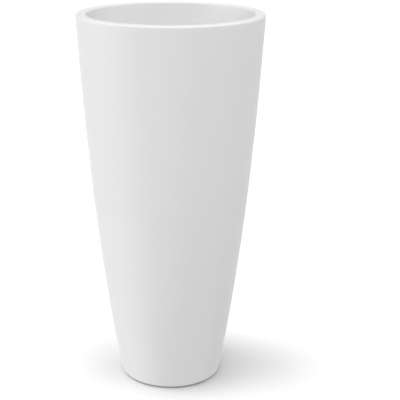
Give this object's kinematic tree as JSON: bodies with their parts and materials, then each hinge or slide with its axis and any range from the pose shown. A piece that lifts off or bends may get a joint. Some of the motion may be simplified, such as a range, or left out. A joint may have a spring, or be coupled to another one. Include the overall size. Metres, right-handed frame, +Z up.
{
  "type": "floor planter",
  "caption": "Tall round tapered floor planter with a flat turned-in lip, a lift-out liner pot with fold-up wire handles, a plugged base drain and rubber feet.",
  "frame": {"origin": "on the floor, under the planter's axis", "axes": "+Z up along the planter's axis, -Y towards the front, +X to the right seen from the front"},
  "size_m": [0.4846, 0.4846, 1],
  "materials": {
    "gelcoat": "satin white gelcoat on glass-fibre laminate",
    "laminate": "bare hand-laid glass-fibre laminate",
    "plywood": "sealed marine plywood",
    "black_plastic": "moulded, fine matt",
    "rubber": "matt moulded rubber",
    "liner_plastic": "fine-grained natural white polypropylene",
    "zinc_steel": "bright zinc plated",
    "rivet_aluminium": "plain, lightly dulled"
  },
  "bodies": {
    "shell": {"outer_shell": "gelcoat", "liner_ledge": "laminate", "base_board": "plywood", "drain_bush": "black_plastic", "drain_seal": "rubber", "drain_nut": "black_plastic", "foot_front_left": "rubber", "foot_front_right": "rubber", "foot_back_left": "rubber", "foot_back_right": "rubber", "foot_screw_front_left": "zinc_steel", "foot_screw_front_right": "zinc_steel", "foot_screw_back_left": "zinc_steel", "foot_screw_back_right": "zinc_steel"},
    "liner": {"liner_pot": "liner_plastic", "handle_saddle_left": "zinc_steel", "handle_saddle_right": "zinc_steel", "handle_rivet_left_1": "rivet_aluminium", "handle_rivet_left_2": "rivet_aluminium", "handle_rivet_left_3": "rivet_aluminium", "handle_rivet_right_1": "rivet_aluminium", "handle_rivet_right_2": "rivet_aluminium", "handle_rivet_right_3": "rivet_aluminium"},
    "front_handle": {"handle_front": "zinc_steel"},
    "back_handle": {"handle_back": "zinc_steel"},
    "bung": {"drain_bung": "rubber"}
  },
  "joints": [
    {"name": "liner_lift", "type": "slide", "parent": "shell", "child": "liner", "axis": [0, 0, 1], "range_m": [0, 0.54]},
    {"name": "front_handle_fold", "type": "hinge", "parent": "liner", "child": "front_handle", "pos_m": [0, -0.012, 0.9208], "axis": [-1, 0, 0], "range_deg": [0, 90]},
    {"name": "back_handle_fold", "type": "hinge", "parent": "liner", "child": "back_handle", "pos_m": [0, 0.012, 0.9208], "axis": [1, 0, 0], "range_deg": [0, 90]},
    {"name": "bung_pull", "type": "slide", "parent": "shell", "child": "bung", "axis": [0, 0, 1], "range_m": [0, 0.05]}
  ]
}
